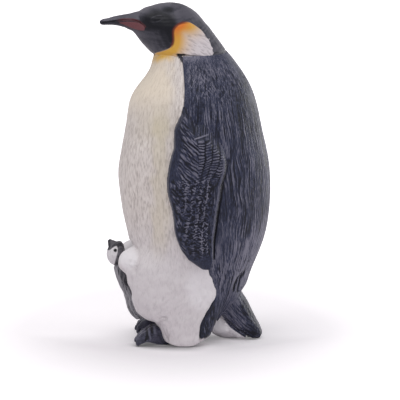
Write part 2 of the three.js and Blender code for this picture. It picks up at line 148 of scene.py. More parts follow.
# Paint of the head and neck
FACE_EDGE = [(-8.8, 71.6), (-7.4, 72.05), (-6.1, 72.4), (-4.4, 73.0), (-3.55, 73.8), (-3.15, 75.1),
             (-3.15, 77.6), (-2.3, 78.9), (-1.0, 79.6), (0.65, 79.75)]
EAR_BACK = [(2.35, 78.9), (4.05, 77.6), (5.3, 75.95), (6.15, 74.7), (6.6, 73.0), (6.7, 71.5), (6.7, 70.0)]
THROAT = [(6.7, 66), (-14, 66), (-14, 71.4)]
THROAT_BELOW = [(30, 66), (30, -10), (-40, -10), (-40, 71.4)]
# Along the cape's upper edge and in the hole at the front of the neck joint, black is painted in as the
# shadow in the gap
CAPE_LINE = [(-2.4, 71.55), (-0.4, 71.5), (1.9, 71.3), (4.4, 71.1), (7.7, 70.9)]
NECK_HOLE = [(-2.2, 71.25), (-1.7, 71.65), (-0.4, 71.65), (-0.2, 71.35), (-1.0, 71.2), (-1.15, 70.75),
             (-1.6, 71.0)]
NECK_CORNER = [(-2.1, 71.3), (-1.5, 70.5), (-0.9, 69.5), (0.3, 68.6), (1.5, 70), (1, 72.2)]
BILL_PLATE = [(-16.9, 79.7), (-15.3, 79.95), (-13.4, 79.9), (-11.8, 79.55), (-10.6, 78.85), (-10.5, 77.8),
              (-11.5, 77.75), (-12.75, 78.05), (-14.35, 78.6), (-15.9, 79.3)]
MOUTH = [(-21.0, 79.75), (-18.7, 80.1), (-17.2, 80.35), (-14.1, 80.5), (-12.1, 80.0), (-10.4, 78.7)]
EYE = (-7.35, 80.6)
EYE_HALF = (1.25, 0.62)
EYE_TURN = (0.97, 0.26)
ORANGE_HEART = (-1.45, 78.5)

# Flippers: front edge moved forward by height, line of the rear edge, its lift and the sunk shoulder
FLIPPER_FORWARD = [(18, 0.8), (21.7, 0.9), (25.8, 0.7), (28, 0.35), (29.8, 0), (31.9, -0.1), (34, 0.1),
                   (36, 0.4), (39, 0.55), (44, 0.48), (46, 0.33), (48, 0), (52.2, 0.1), (54.2, -0.35),
                   (56.2, -0.75), (58.3, -0.1), (60, 0)]
FLIPPER_REAR = [(10.6, 45.0), (10.1, 42.0), (9.1, 38.2), (8.8, 35.7), (7.8, 29.8), (7.1, 24.7), (7.0, 20.2)]
REAR_LIFT = 0.4
SHOULDER_SINK = 0.35
SHOULDER_LINE = [(-5, 50), (-2.7, 53.4), (-1.2, 55.8), (-0.3, 56.4), (2.4, 50.6), (4.9, 50.9), (6.9, 48.6),
                 (10.5, 45.1), (14, 41.5)]
SHOULDER_RIDGES = [[(2.2, 50.1), (3.9, 50.6), (5.6, 51.1)], [(8.6, 49.0), (9.35, 47.3), (10.5, 44.9)]]
FEATHER_WIDTH = 1.85
CARVING = 0.17

# Tail from the rump to its end: distance back, height, half thickness and half width
TAIL_PATH = [(10.4, 10.6, 3.6, 7.6), (12.8, 7.3, 3.4, 7.2), (15.7, 3.9, 2.6, 6.2), (18.0, 2.0, 1.5, 4.8),
             (19.2, 1.2, 0.7, 3.2)]
# Below that line it is deeper by this factor, and its section is boxier the higher the power
TAIL_DEEPER = 1.75
TAIL_BOXY = 4
TAIL_CELL = 0.4
# Underside at the root lifted and widened, end lowered and shortened, root sunk in the rump, fillet round it
UNDERTAIL_LIFT = 1.5
UNDERTAIL_HALF = 6.2
TAIL_END_DROP = 0.6
TAIL_END_SHORTER = 0.3
TAIL_SINK = 2.0
TAIL_TUCK = 0.05
TAIL_FILLET = 4.0
TAIL_WHITE = [(7.0, 7.2), (8.7, 6.1), (10.2, 3.8), (11.9, 1.95), (13.8, 0.8), (14.8, 0.1), (15.6, -0.5),
              (16.6, -1.4)]

# Feet: height of the arch under the toes by distance back, and the toes set further out and lower
FOOT_ARCH = [(-12.2, 0), (-11.4, 0.6), (-10.2, 1.16), (-9.2, 1.0), (-8.3, 0.64), (-7.2, 0.2), (-6, 0)]
TOE_OUT = 0.8
TOE_LOWER = 0.2
TOE_RIDGES = [[(-10.6, 2.8), (-10.5, 2.0), (-11.7, 0.85), (-12.6, -0.3)],
              [(-9.4, 2.2), (-9.25, 1.0), (-9.0, -0.1)], [(-8.0, 2.6), (-7.8, 1.2)]]
TOE_GROOVES = [[(-9.95, 2.8), (-9.8, 0.5), (-10.2, -0.6)], [(-8.6, 2.8), (-8.5, 1.4)]]

# Chick: front of the body and border of its dark side by height, shifts of its parts, and its face
CHICK_FRONT = [(4, 0), (5.5, -0.5), (8, 0), (11.5, 0.4), (14, 0.1), (16, 0)]
CHICK_DARK = [(5, -11.0), (9.4, -14.0), (14, -16), (18, -17.5)]
CHICK_NECK_SHIFT = (-0.5, 0.8)
CHICK_NAPE = -16.5
CHICK_NAPE_SHORT = 0.6
CHICK_HEAD_FORWARD = 0.25
CHICK_FLIPPER_BACK = 0.9
CHICK_FLIPPER_SHORT = 0.2
CHICK_FACE = [(-20.4, 21.7), (-19.3, 22.2), (-18.6, 22.7), (-17.6, 23.2), (-17.3, 22.0), (-17.7, 20.2),
              (-18.6, 17.8), (-20.4, 18.4)]
CHICK_EYE = (-17.9, 22.1)


# Paints, as screen colours
def paint(red, green, blue):
    """A paint from its screen colour, as light from 0 to 1."""
    shares = np.array([red, green, blue]) / 255
    return (*np.where(shares <= 0.04045, shares / 12.92, ((shares + 0.055) / 1.055) ** 2.4), 1)


WHITE = paint(224, 215, 211)
WHITE_DRY = paint(242, 235, 231)
WHITE_DEEP = paint(196, 186, 182)
COOL_WHITE = paint(223, 218, 226)
HEEL_WHITE = paint(212, 205, 208)
CHICK_WHITE = paint(226, 222, 226)
CREAM = paint(240, 226, 206)
OLIVE = paint(216, 205, 178)
YELLOW = paint(218, 167, 70)
COLLAR = paint(238, 189, 64)
ORANGE = paint(222, 122, 46)
RUST = paint(96, 30, 22)
EAR_WHITE = paint(213, 205, 210)
PALE = paint(244, 240, 244)
SLATE = paint(49, 54, 80)
SLATE_DRY = paint(127, 125, 141)
SLATE_DEEP = paint(15, 16, 28)
HOOD = paint(54, 54, 65)
HOOD_DRY = paint(103, 100, 111)
HOOD_DEEP = paint(10, 11, 23)
PLATE = paint(117, 71, 76)
GAPE = paint(92, 30, 36)
FOOT = paint(76, 76, 95)
FOOT_DRY = paint(124, 124, 140)
FOOT_DEEP = paint(20, 20, 28)
DOWN = paint(152, 150, 157)
DOWN_DRY = paint(170, 168, 172)
DOWN_DEEP = paint(44, 43, 50)
CAP = paint(97, 95, 101)
CAP_DRY = paint(120, 116, 122)
BLACK = paint(18, 18, 22)


# Number fields

def ramp(value, low, high):
    """Soft step from 0 at low to 1 at high."""
    share = np.clip((value - low) / (high - low), 0, 1)
    return share * share * (3 - 2 * share)


def follow(value, table):
    """What a table of pairs gives for a value, along straight lines."""
    return np.interp(value, *zip(*table))


def spot(u, v, middle, half):
    """A round spot that fades away from 1 in its middle."""
    return np.exp(-((u - middle[0]) / half[0]) ** 2 - ((v - middle[1]) / half[1]) ** 2)


def oval(u, v, middle, half):
    """Distance from a middle, as a share of a half size each way."""
    return np.hypot((u - middle[0]) / half[0], (v - middle[1]) / half[1])


def scatter(x, y, z, seed):
    """A fixed random number from -1 to 1 for each whole cell."""
    mixed = (x * 374761393 + y * 668265263 + z * 974634777 + seed * 144665) & 0xFFFFFFFF
    mixed = ((mixed ^ (mixed >> 13)) * 1274126177) & 0xFFFFFFFF
    return ((mixed ^ (mixed >> 16)) & 0xFFFF) / 32767.5 - 1


def noise(x, y, z=0.0, seed=0):
    """A soft random field from -1 to 1, with about one bump per unit."""
    places = [np.asarray(c, float) for c in (x, y, z)]
    cells = [np.floor(c).astype(np.int64) for c in places]
    shares = [ramp(c - f, 0, 1) for c, f in zip(places, cells)]
    total = 0
    for corner in range(8):
        steps = (corner & 1, corner >> 1 & 1, corner >> 2)
        weight = 1
        for share, step in zip(shares, steps):
            weight = weight * (share if step else 1 - share)
        total = total + weight * scatter(*(c + s for c, s in zip(cells, steps)), seed)
    return total


def hair(across, along, pitch, length, seed, broad_share=0.45):
    """Combed hair, from -1 in a groove to 1 on a ridge."""
    sway = 0.5 * noise(across / 6, along / 6, 0.5, seed)
    sway += 0.16 * noise(across / 1.6, along / 2.2, 0.5, seed + 1)
    fine = noise((across + sway) / (0.52 * pitch), along / length, 0, seed + 2)
    broad = noise((across + sway) / (1.3 * pitch), along / (1.6 * length), 0, seed + 3)
    return np.clip(1.25 * fine + broad_share * broad, -1, 1)


def ridges(place, pitch):
    """Even rounded ridges with narrow grooves, from -1 to 1."""
    return 2 * np.abs(np.sin(math.pi * place / pitch)) - 1


def blur(field, rows, columns):
    """A field smoothed over so many rows, and columns that run round."""
    pad = int(4 * rows) + 1
    wide = np.pad(field, ((pad, pad), (0, 0)), mode="edge")
    row_waves = np.exp(-2 * (math.pi * rows * np.fft.fftfreq(wide.shape[0])) ** 2)
    column_waves = np.exp(-2 * (math.pi * columns * np.fft.fftfreq(wide.shape[1])) ** 2)
    soft = np.fft.ifft2(np.fft.fft2(wide) * row_waves[:, None] * column_waves[None, :]).real
    return soft[pad:-pad]


# Drawn lines

def curve(points, closed=False, steps=8):
    """A smooth line through a few points."""
    points = np.array(points, float)
    count = len(points)
    ends = range(count) if closed else range(count - 1)
    pick = (lambda i: points[i % count]) if closed else (lambda i: points[min(max(i, 0), count - 1)])
    made = []
    for i in ends:
        a, b, c, d = (pick(i + k) for k in (-1, 0, 1, 2))
        for t in np.arange(steps) / steps:
            made.append(0.5 * (2 * b + (c - a) * t + (2 * a - 5 * b + 4 * c - d) * t ** 2
                               + (3 * b - a - 3 * c + d) * t ** 3))
    return np.array(made if closed else [*made, points[-1]])


def distance(u, v, line, closed=False):
    """Distance of points from a drawn line."""
    nearest = np.full(np.shape(u), 1e9)
    ends = np.roll(line, -1, axis=0) if closed else line[1:]
    for (au, av), (bu, bv) in zip(line, ends):
        du, dv = bu - au, bv - av
        share = np.clip(((u - au) * du + (v - av) * dv) / (du * du + dv * dv + 1e-12), 0, 1)
        nearest = np.minimum(nearest, np.hypot(u - au - share * du, v - av - share * dv))
    return nearest


def stroke(u, v, points, reach, core):
    """1 within the core of a smooth line through points, and 0 beyond its reach."""
    return ramp(distance(u, v, curve(points)), reach, core)


def inside(u, v, outline, soft):
    """1 inside a smooth closed outline and 0 outside, with a soft border."""
    line = curve(outline, closed=True)
    odd = np.zeros(np.shape(u), bool)
    for (au, av), (bu, bv) in zip(line, np.roll(line, -1, axis=0)):
        crosses = (av > v) != (bv > v)
        odd ^= crosses & (u < (bu - au) * (v - av) / (bv - av + 1e-12) + au)
    signed = distance(u, v, line, closed=True) * np.where(odd, 1, -1)
    return ramp(signed, -soft, soft)


def seen(points):
    """Place in the side view, alike for both sides of the bird."""
    up = points[..., 2] * math.cos(VIEW_RISE) - np.abs(points[..., 0]) * math.sin(VIEW_RISE)
    return points[..., 1], up


# Meshes

def in_scene(name, data):
    """A new object of the scene."""
    made = bpy.data.objects.new(name, data)
    bpy.context.scene.collection.objects.link(made)
    return made


def weld(node, floor=None):
    """The CAD mesh of a node as one welded mesh, without what lies below a height."""
    mesh = bmesh.new()
    mesh.from_mesh(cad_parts[node].data)
    bmesh.ops.remove_doubles(mesh, verts=mesh.verts, dist=1e-7)
    if floor is not None:
        parts = mesh.verts[:] + mesh.edges[:] + mesh.faces[:]
        cut = bmesh.ops.bisect_plane(mesh, geom=parts, plane_co=(0, 0, floor * MM), plane_no=(0, 0, 1),
                                     clear_inner=True)
        rim = [e for e in cut["geom_cut"] if isinstance(e, bmesh.types.BMEdge)]
        bmesh.ops.contextual_create(mesh, geom=rim)
    made = bpy.data.meshes.new(node)
    mesh.to_mesh(made)
    mesh.free()
    return made


def even_cells(node, cell, rounds, floor=None):
    """A CAD node as even cells, smoothed without shrinking: points in millimetres, and faces."""
    rough = in_scene(node, weld(node, floor))
    remesh = rough.modifiers.new("even", "REMESH")
    remesh.mode = "VOXEL"
    remesh.voxel_size = cell * MM
    even = bpy.data.meshes.new_from_object(rough.evaluated_get(bpy.context.evaluated_depsgraph_get()))
    points = np.zeros(len(even.vertices) * 3)
    even.vertices.foreach_get("co", points)
    faces = np.array([p.vertices[:] for p in even.polygons])
    bpy.data.objects.remove(rough)
    return relax(points.reshape(-1, 3) / MM, faces, rounds), faces


def relax(points, faces, rounds, back=-0.52):
    """Points evened out, by turns with 0.5 and with back: a negative back keeps the size of the form."""
    sides = np.concatenate([faces[:, [k, (k + 1) % 4]] for k in range(4)])
    edges = np.unique(np.sort(sides, axis=1), axis=0)
    ends = np.concatenate([edges, edges[:, ::-1]])
    count = np.bincount(ends[:, 0], minlength=len(points))
    for turn in range(2 * rounds):
        middle = [np.bincount(ends[:, 0], points[ends[:, 1], k], len(points)) / count for k in range(3)]
        points = points + (0.5, back)[turn % 2] * (np.stack(middle, axis=1) - points)
    return points


def outward(points, faces):
    """Unit normals of the points."""
    p = points[faces]
    normal = np.cross(p[:, 2] - p[:, 0], p[:, 3] - p[:, 1])
    total = [np.bincount(faces.ravel(), np.repeat(normal[:, k], 4), len(points)) for k in range(3)]
    total = np.stack(total, axis=1)
    return total / np.maximum(np.linalg.norm(total, axis=1, keepdims=True), 1e-9)


def raised(points, normal, height):
    """Points moved out along their normals."""
    return points + normal * height[:, None]


def piece(node, points, faces, slot, fields):
    """A finished piece in place of a CAD node, with painted fields from 0 to 1 on its points."""
    mesh = bpy.data.meshes.new(node + "_finish")
    mesh.from_pydata((points * MM).tolist(), [], faces)
    for name, values in fields.items():
        layer = mesh.attributes.new(name, "FLOAT", "POINT")
        layer.data.foreach_set("value", np.clip(values, 0, 1).astype(np.float32))
    mesh.shade_smooth()
    mesh.set_sharp_from_angle(angle=math.radians(70))
    mesh.materials.append(MATERIALS[slot])
    made = in_scene(node + "_finish", mesh)
    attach(made, "root")
    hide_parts(node)


def both_sides(left_node, points, faces, slot, fields):
    """A left piece and its mirror image on the right."""
    piece(left_node, points, faces.tolist(), slot, fields)
    piece(left_node.replace("left", "right"), points * (-1, 1, 1), faces[:, ::-1].tolist(), slot, fields)


# Materials

class Nodes:
    """The shading of a material or of the sky, put together step by step."""

    def __init__(self, owner, shader="Principled BSDF"):
        owner.use_nodes = True
        self.owner = owner
        self.tree = owner.node_tree
        self.shader = self.tree.nodes[shader]

    def feed(self, node, inputs):
        """Feeds inputs of a node, by name or number, from other sockets or with constants."""
        for key, value in inputs.items():
            if isinstance(value, bpy.types.NodeSocket):
                self.tree.links.new(value, node.inputs[key])
            else:
                node.inputs[key].default_value = value
        return node

    def add(self, kind, *first, **named):
        """A new node, with its first inputs fed in order and others by name."""
        return self.feed(self.tree.nodes.new("ShaderNode" + kind), dict(enumerate(first)) | named)

    def field(self, name):
        """A painted field of the piece."""
        node = self.add("Attribute")
        node.attribute_name = name
        return node.outputs["Fac"]

    def mix(self, share, under, over):
        """One colour laid over another."""
        node = self.add("Mix")
        node.data_type = "RGBA"
        return self.feed(node, {0: share, 6: under, 7: over}).outputs[2]

    def darker(self, colour):
        """The same colour in the shade of a groove."""
        return self.add("HueSaturation", Saturation=1.1, Value=0.55, Color=colour).outputs["Color"]

    def sum(self, operation, first, second):
        """A sum or product of two numbers, kept from 0 to 1."""
        node = self.add("Math", first, second)
        node.operation = operation
        node.use_clamp = True
        return node.outputs[0]

    def spread(self, value, low, high, to_low, to_high):
        """A number moved from one range to another."""
        return self.add("MapRange", value, low, high, to_low, to_high).outputs[0]

    def speckle(self, size, stretch=(1, 1, 1), detail=3):
        """Random spots of a size in millimetres, stretched along the axes."""
        place = self.add("TexCoord").outputs["Object"]
        scaled = self.add("Mapping", Vector=place, Scale=[1 / s for s in stretch]).outputs["Vector"]
        return self.add("TexNoise", Vector=scaled, Scale=1 / (size * MM), Detail=detail).outputs["Fac"]

    def finish(self, colour, rough, bump_from, bump):
        """Sets colour, gloss and fine relief."""
        gloss = self.spread(self.speckle(1.3), 0.3, 0.7, rough - 0.08, rough + 0.08)
        fine = self.add("Bump", Strength=bump, Distance=0.1 * MM, Height=bump_from)
        self.feed(self.shader, {
            "Base Color": colour, "Roughness": gloss, "Specular IOR Level": 0.3, "Sheen Weight": 0.4,
            "Sheen Roughness": 0.3, "Sheen Tint": (1, 0.97, 1, 1), "Normal": fine.outputs["Normal"]})
        return self.owner


def painted(name, base, dry, deep, layers, strands=(1, 1, 3), dry_share=0.5, rough=0.5, grain_share=0.2,
            wash=0.2):
    """Paint in layers, with grooves kept dark and ridges brushed lighter."""
    nodes = Nodes(bpy.data.materials.new(name))
    grain = nodes.speckle(0.22, strands)
    colour = nodes.mix(nodes.spread(nodes.speckle(4.5), 0.35, 0.65, 0, 0.25), base, deep)
    relief = nodes.sum("ADD", nodes.field("relief"), nodes.spread(grain, 0.3, 0.7, -grain_share, grain_share))
    colour = nodes.mix(nodes.spread(relief, 0.5, 0.1, 0, 0.95), colour, deep)
    patchy = nodes.spread(nodes.speckle(6), 0.3, 0.65, 0.45, 1)
    brushed = nodes.sum("MULTIPLY", nodes.spread(relief, 0.5, 0.95, 0, dry_share), patchy)
    colour = nodes.mix(brushed, colour, dry)
    for field, tint in layers:
        colour = nodes.mix(nodes.field(field), colour, tint)
    colour = nodes.mix(nodes.spread(relief, 0.45, 0.05, 0, wash), colour, nodes.darker(colour))
    return nodes.finish(colour, rough, grain, 0.35)


MATERIALS = {
    "white_paint": painted(
        "cream_white_paint", WHITE, WHITE_DRY, WHITE_DEEP,
        [("cool", COOL_WHITE), ("painted_light", PALE), ("cream", CREAM), ("olive_and_shade", OLIVE), ("yellow", COLLAR),
         ("hood", HOOD)],
        (1, 1, 4), dry_share=0.9, rough=0.55, wash=0.18),
    "slate_paint": painted(
        "slate_paint", SLATE, SLATE_DRY, SLATE_DEEP, [("white", HEEL_WHITE), ("pale", PALE)],
        (1, 1, 5), dry_share=1.0, grain_share=0.22),
    "hood_paint": painted(
        "hood_paint", HOOD, HOOD_DRY, HOOD_DEEP,
        [("deep", HOOD_DEEP), ("white", EAR_WHITE), ("yellow", YELLOW), ("orange", ORANGE), ("rust", RUST),
         ("gape", GAPE), ("plate", PLATE), ("gap", BLACK)],
        (1, 3, 1), dry_share=0.8, rough=0.48, grain_share=0.15, wash=0.5),
    "foot_paint": painted("foot_paint", FOOT, FOOT_DRY, FOOT_DEEP, [], (1, 2, 1), dry_share=0.6),
    "down_paint": painted(
        "down_paint", DOWN, DOWN_DRY, DOWN_DEEP, [("deep", DOWN_DEEP)], rough=0.6, grain_share=0.25),
    "cap_paint": painted(
        "cap_paint", CAP, CAP_DRY, DOWN_DEEP, [("white", CHICK_WHITE), ("black", BLACK)],
        rough=0.55, wash=0.3),
}


# Body

levels = np.linspace(HEM, NECK + COVER + COVER_SIDE + 0.3, SKIN_ROWS)
half_turns = np.linspace(0, math.pi, HALF_COLUMNS)
ROW_STEP = levels[1] - levels[0]
COLUMN_STEP = half_turns[1] * HAIR_RADIUS


def reach(node, heights):
    """Reach of a node from the axis, by height and by turn from tail to breast."""
    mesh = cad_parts[node].data
    tree = BVHTree.FromPolygons([v.co for v in mesh.vertices], [p.vertices[:] for p in mesh.polygons])
    found = np.zeros((SKIN_ROWS, HALF_COLUMNS))
    for i, height in enumerate(heights):
        for j, turn in enumerate(half_turns):
            way = Vector((math.sin(turn), math.cos(turn), 0))
            start = Vector((0, AXIS_BACK, height)) + way * FAR
            hit = tree.ray_cast(start * MM, -way)
            if hit[0] is not None:
                found[i, j] = max(FAR - hit[3] / MM, 0)
    return found


def widest(field, half):
    """The largest value within some columns to each side."""
    return np.max([np.roll(field, k, axis=1) for k in range(-half, half + 1)], axis=0)


def cuffs():
    """Reach of the trousers from the axis near the ground, in the same terms."""
    heights, *sizes = zip(*CUFF)
    middle, half, depth = (np.interp(levels, heights, size)[:, None] for size in sizes)
    side, back = np.sin(half_turns)[None, :] / half, np.cos(half_turns)[None, :] / depth
    from_side, from_back = -LEG_SIDE / half, (AXIS_BACK - middle) / depth
    square = side ** 2 + back ** 2
    cross = side * from_side + back * from_back
    inner = cross ** 2 - square * (from_side ** 2 + from_back ** 2 - 1)
    far = np.where(inner > 0, (np.sqrt(np.maximum(inner, 0)) - cross) / square, 0)
    return np.where(levels[:, None] < heights[-1], far, 0)


def seam_turns(back, front):
    """Turn of the border between the shells at each height, frayed near the ground."""
    beside = (half_turns > math.radians(25)) & (half_turns < math.radians(150))
    owned = (back > front) & (back > 4) & beside
    seam = np.array([half_turns[np.flatnonzero(row)[-1]] if row.any() else np.nan for row in owned])
    rows = np.arange(SKIN_ROWS)
    seam = np.interp(rows, rows[~np.isnan(seam)], seam[~np.isnan(seam)])
    frayed = SEAM_FRAY / HAIR_RADIUS * noise(levels / 1.1, 0, 0, 25) * ramp(levels, 24, 18)
    return blur(seam[:, None], 4, 0.01)[:, 0] + frayed + follow(levels, SEAM_SHIFT) / SEAM_RADIUS


def fitted(half):
    """Reach of the skin brought nearer to the photograph at waist, chest, hem and foot."""
    height, turn = levels[:, None], np.degrees(half_turns)[None, :]
    half = half + follow(height, WAIST_FILL) * ramp(turn, 60, 25)
    half = half + follow(height, CHEST_FILL) * ramp(turn, 100, 150)
    half = half + HEM_FLARE * ramp(height, 3, HEM) * ramp(np.sin(half_turns), 0.6, 0.9)[None, :]
    over_foot = OVER_FOOT * np.exp(-((height - 4.2) / 1.6) ** 2)
    return half + over_foot * ramp(turn, 98, 115) * ramp(turn, 150, 138)


def body_skin():
    """Distance of the skin from the axis all round, and the turn of the seam at each height."""
    below = np.minimum(levels, NECK - 0.05)
    back, front, cuff = reach("back_shell", below), reach("front_shell", below), cuffs()
    seam = seam_turns(back, front)
    front = np.where((cuff > 0) & (half_turns > math.radians(100)), np.minimum(front, cuff), front)
    height, turn = levels[:, None], np.degrees(half_turns)[None, :]
    by_lobe = ramp(height, 16, 20) * ramp(height, 30, 27) * ramp(turn, 110, 125) * ramp(turn, 176, 170)
    front = front + by_lobe * (np.roll(front, -LOBE_DROP, axis=0) - front)
    half = fitted(np.maximum(np.maximum(np.maximum(back, front), cuff), 1.2))
    over_neck = reach("head", np.maximum(levels, NECK + NECK_GAP))
    half = half + ramp(height, NECK - 0.05, NECK + NECK_GAP) * (over_neck - half)
    skin = np.concatenate([half[:, :-1], half[:, :0:-1]], axis=1)
    closed, filled = (-widest(-widest(skin, half), half) for half in (CLOSE_HALF, FILL_HALF))
    turns = np.arange(skin.shape[1]) * half_turns[1]
    from_tail = np.minimum(turns, 2 * math.pi - turns)
    skin = np.where(from_tail[None, :] < seam[:, None], filled, closed)
    soft = blur(skin, 2.0 / ROW_STEP, 2.2 / COLUMN_STEP)
    crisp = blur(skin, 0.4 / ROW_STEP, 0.45 / COLUMN_STEP)
    by_chick = ramp(height, 30, 26) * ramp(from_tail[None, :], math.radians(105), math.radians(125))
    share = ramp(height, 3, 9) * (1 - by_chick) * ramp(height, NECK + 0.6, NECK - 2)
    return crisp + share * (soft - crisp), seam


def body_shell(skin, seam, front):
    """Turns, heights and distances from the axis of one shell, seam to seam."""
    share = np.linspace(0, 1, SHELL_COLUMNS)[None, :]
    clear = SHELL_GAP / HAIR_RADIUS
    seam = np.interp(np.linspace(HEM, levels[-1], SHELL_ROWS), levels, seam)[:, None]
    low = seam + clear if front else -seam + clear
    high = 2 * math.pi - seam - clear if front else seam - clear
    turn = low + share * (high - low)
    top = NECK + COVER + COVER_SIDE * np.sin(turn) ** 2
    height = HEM + np.linspace(0, 1, SHELL_ROWS)[:, None] * (top - HEM)
    column = (turn / (2 * math.pi)) % 1 * skin.shape[1]
    row = np.clip((height - HEM) / ROW_STEP, 0, SKIN_ROWS - 1.001)
    left, low_row = np.floor(column).astype(int) % skin.shape[1], np.floor(row).astype(int)
    right = (left + 1) % skin.shape[1]
    across, up = column - np.floor(column), row - low_row
    under = skin[low_row, left] * (1 - across) + skin[low_row, right] * across
    over = skin[low_row + 1, left] * (1 - across) + skin[low_row + 1, right] * across
    return turn, height, under * (1 - up) + over * up


def shell_points(turn, height, radius):
    """Points of a shell grid."""
    return np.stack([radius * np.sin(turn), AXIS_BACK + radius * np.cos(turn), height], axis=-1)


def raise_hem(points):
    """The lower edge of a shell follows the hem line."""
    _, y, z = points.T
    z += (follow(y, HEM_LINE) - HEM) * ramp(z, 7, HEM)


def half_width(skin, y, z):
    """How far the skin stands out to the side at a place of the side view."""
    x = np.full(np.shape(y), 18.0)
    row = np.clip(np.round((z - HEM) / ROW_STEP), 0, SKIN_ROWS - 1).astype(int)
    for _ in range(8):
        column = np.round(np.arctan2(x, y - AXIS_BACK) / half_turns[1]).astype(int)
        x = np.sqrt(np.maximum(skin[row, column] ** 2 - (y - AXIS_BACK) ** 2, 1))
    return x


def closed_shell(turn, height, radius, front):
    """A shell as rings that run over the skin and back through the axis, and its faces."""
    skin = shell_points(turn, height, radius)
    rims = [shell_points(turn[:, k], height[:, k], np.maximum(radius[:, k] - SHELL_EDGE, 0.5))
            for k in ([0], [-1])]
    middle = height[:, [0]]
    core_back = AXIS_BACK + (-CORE_HALF if front else CORE_HALF)
    core = np.stack([0 * middle, core_back + 0 * middle, middle], axis=-1)
    rings = np.concatenate([core, rims[0], skin, rims[1]], axis=1)
    count = rings.shape[1]
    i, j = np.meshgrid(np.arange(SHELL_ROWS - 1) * count, np.arange(count), indexing="ij")
    k = (j + 1) % count
    faces = np.stack([i + j, i + j + count, i + k + count, i + k], axis=-1).reshape(-1, 4).tolist()
    faces.append(list(range(count)))
    faces.append(list(range((SHELL_ROWS - 1) * count, SHELL_ROWS * count))[::-1])
    return rings.reshape(-1, 3), faces


def over_ring(field):
    """A field of the skin with the rims and the core added."""
    return np.concatenate([field[:, :1], field[:, :1], field, field[:, -1:]], axis=1).ravel()


def edge_distance(turn, radius):
    """Distance of skin points from the nearer seam."""
    return np.minimum(turn - turn[:, :1], turn[:, -1:] - turn) * radius


def front_shell(skin, seam):
    """White breast and belly with folds and trousers."""
    turn, height, radius = body_shell(skin, seam, True)
    across = turn * HAIR_RADIUS
    u, v = seen(shell_points(turn, height, radius))
    low = ramp(height, 26, 16)
    fluff = hair(across + 0.4 * height, height, 1.0, 0.8, 15)
    relief = hair(across, height, 0.5, 0.9, 11) * (1 - 0.7 * low) + 0.9 * low * fluff
    near = edge_distance(turn, radius)
    swell = 0.14 * noise(across / 4.5, height / 6, 0, 21)
    swell += 0.3 * low * noise(across / 2.6, height / 2.2, 0, 22)
    swell += 0.12 * low * noise(across / 1.2 + 0.3 * height, height / 0.9, 0, 23)
    radius += (0.045 + 0.035 * low) * relief + swell * ramp(near, 0, 3) - 0.12 * ramp(near, 0.3, 0)
    from_crease = distance(u, v, curve(FOLD_CREASE))
    in_front = ramp(turn, seam.mean(), math.pi) * ramp(2 * math.pi - turn, seam.mean(), math.pi)
    radius -= 0.5 * ramp(from_crease, 0.8, 0.05) * ramp(in_front, 0.05, 0.2)
    # Painted shade: the fold crease is painted darker as well as carved in
    relief -= 0.8 * ramp(from_crease, 0.45, 0.1)
    # Painted shade: each wrinkle is painted darker as well as carved in
    for line in WRINKLES:
        off = distance(u, v, curve(line))
        radius -= 0.35 * ramp(off, 0.4, 0.05)
        relief -= 1.5 * ramp(off, 0.35, 0.05)
    # Painted highlight: the lobe of the brood fold is brushed lighter where more light falls on it
    relief += 1.4 * ramp(oval(u, v, LOBE, LOBE_HALF), 1.1, 0.7)
    radius -= 0.22 * ramp(height, 72.3, 73.3)
    points, faces = closed_shell(turn, height, radius, True)
    raise_hem(points)
    u, v = seen(points)
    ragged = noise(points[:, 1] / 1.5, points[:, 2] / 2.5, points[:, 0] / 1.5, 31)
    hood = 1 - inside(u, v, FACE_EDGE + EAR_BACK + THROAT_BELOW, 0.1)
    hood = np.maximum(hood, inside(u + 0.2 * ragged, v, NECK_CORNER, 0.12))
    fields = {
        "relief": over_ring(0.5 + (0.34 - 0.12 * low) * relief),
        "cool": 0.6 * ramp(v, 34, 16),
        "cream": 0.75 * ramp(v, 53, 63) * ramp(u + 0.8 * ragged, -1.5, -6),
        # Olive tint in a streak down the breast, and painted shade in a broad spot on the upper breast
        "olive_and_shade": 0.4 * ramp(np.abs(u + 6.5 + ragged), 3, 0.5) * ramp(v, 18, 27) * ramp(v, 62, 52)
        + 0.35 * spot(u, v, (-8, 53.5), (5, 4.5)),
        # Painted highlight: the lobe and the rear of the trousers are painted paler where more light falls
        "painted_light": np.maximum(0.8 * ramp(oval(u, v, LOBE, LOBE_HALF), 1.1, 0.7),
                           0.7 * ramp(oval(u, v, (4, 12.5), (4.5, 6)), 1.2, 0.5)),
        "yellow": collar(u, v),
        # Hood paint, and in the hole at the front of the neck joint dark paint as painted shadow
        "hood": np.maximum(hood, inside(u, v, NECK_HOLE, 0.08)),
    }
    piece("front_shell", points, faces, "white_paint", fields)


def collar(u, v):
    """Share of gold on the throat in the side view, brushed on in downward streaks."""
    streak = noise(u / 0.6, v / 2.5, 0, 33)
    heart = spot(u, v + 0.5 * streak, (-5.8, 70.95), (2.0, 0.9))
    band = ramp(v + 0.6 * streak, 69.0, 71.6) * ramp(u + 0.3 * streak, -1.6, -5) * ramp(v, 74.2, 73)
    return np.clip(0.62 * heart + 0.36 * band, 0, 1)


def round_tail(points):
    """The back runs into the sides of the tail in a fillet."""
    x, y, z = points.T
    side = np.maximum(tail_half(y, z) - TAIL_TUCK, 0)
    wide = np.abs(x)
    share = np.clip(0.5 + 0.5 * (wide - side) / TAIL_FILLET, 0, 1)
    wider = side + (wide - side) * share + TAIL_FILLET * share * (1 - share)
    x[:] = np.where(side > 0, np.sign(x) * wider, x)


